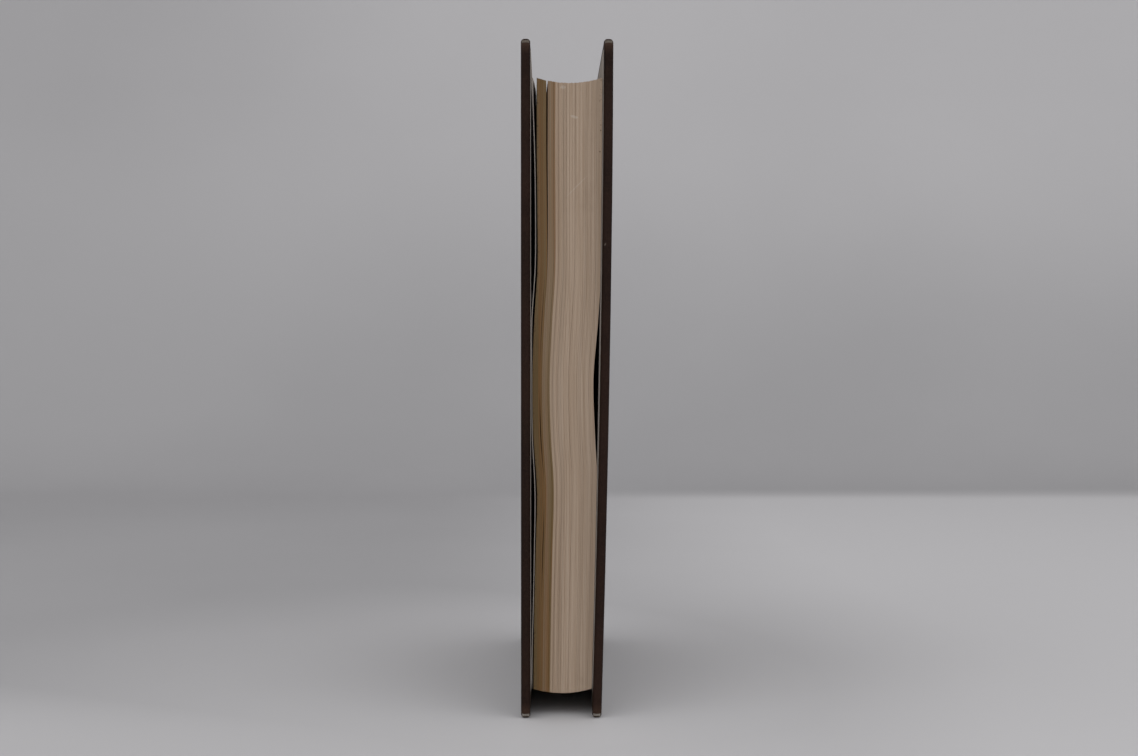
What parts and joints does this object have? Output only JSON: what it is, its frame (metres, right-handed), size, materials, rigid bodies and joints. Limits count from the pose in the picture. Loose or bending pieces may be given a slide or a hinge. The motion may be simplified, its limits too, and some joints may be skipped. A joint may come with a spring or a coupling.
{
  "type": "leather-bound book",
  "caption": "Upright leather-bound book with cockled leaves, a warped back cover and covers that open on leather joints.",
  "frame": {"origin": "on the floor, under the middle of the closed book's box", "axes": "+Z from tail to head, -Y towards the fore edge, +Y towards the spine, -X out of the front cover"},
  "size_m": [0.0326, 0.165, 0.24],
  "materials": {
    "leather": "satin",
    "leaf_paper": "matte",
    "endpaper": "matte",
    "pasteboard": "matte",
    "infill_card": "matte",
    "hemp_cord": "matte",
    "lining_linen": "matte",
    "headband_silk": "satin"
  },
  "bodies": {
    "root": {"page_block": "leaf_paper", "front_flyleaf": "endpaper", "back_flyleaf": "endpaper", "spine_leather": "leather", "headband_head": "headband_silk", "headband_tail": "headband_silk", "sewing_cord_1": "hemp_cord", "sewing_cord_2": "hemp_cord", "sewing_cord_3": "hemp_cord", "sewing_cord_4": "hemp_cord", "sewing_cord_5": "hemp_cord", "spine_lining_1": "lining_linen", "spine_lining_2": "lining_linen", "spine_lining_3": "lining_linen", "spine_lining_4": "lining_linen", "spine_lining_5": "lining_linen", "spine_lining_6": "lining_linen"},
    "front_cover": {"front_board": "pasteboard", "front_cover_leather": "leather", "front_infill_card": "infill_card", "front_pastedown": "endpaper"},
    "back_cover": {"back_board": "pasteboard", "back_cover_leather": "leather", "back_infill_card": "infill_card", "back_pastedown": "endpaper"}
  },
  "joints": [
    {"name": "front_joint", "type": "hinge", "parent": "root", "child": "front_cover", "pos_m": [-0.0163, 0.0722, 0.12], "axis": [0, 0, -1], "range_deg": [0, 150]},
    {"name": "back_joint", "type": "hinge", "parent": "root", "child": "back_cover", "pos_m": [0.0163, 0.0722, 0.12], "axis": [0, 0, 1], "range_deg": [0, 150]}
  ]
}
